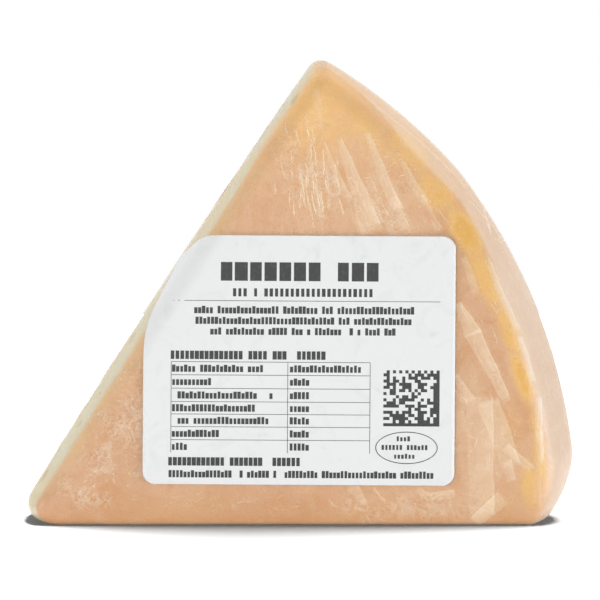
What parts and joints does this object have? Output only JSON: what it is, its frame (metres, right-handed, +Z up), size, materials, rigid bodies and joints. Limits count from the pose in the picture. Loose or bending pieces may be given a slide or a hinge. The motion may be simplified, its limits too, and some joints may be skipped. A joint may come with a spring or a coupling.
{
  "type": "wedge of munster cheese",
  "caption": "Wedge of soft washed-rind cheese, tightly wrapped in clear film with a paper label, standing on one of its cut faces.",
  "frame": {"origin": "middle of the bottom of the bounding box, on the cut face that the wedge stands on", "axes": "+X from the sharp tip towards the round rim, +Y from the labelled rind face to the plain one, along the wheel's axis, +Z up from the cut face it stands on"},
  "size_m": [0.089, 0.0368, 0.0748],
  "materials": {
    "cheese_rind": "soft washed rind, peach orange with golden patches, and pale ivory paste on the cut faces, a little oily under film",
    "cling_film": "clear stretch film, glossy, milky where it is pleated",
    "label_paper": "satin white thermal label paper, faintly smudged",
    "label_print": "matt black thermal print"
  },
  "bodies": {
    "root": {"wrapped_cheese": "cheese_rind", "label": "label_paper"}
  },
  "joints": []
}
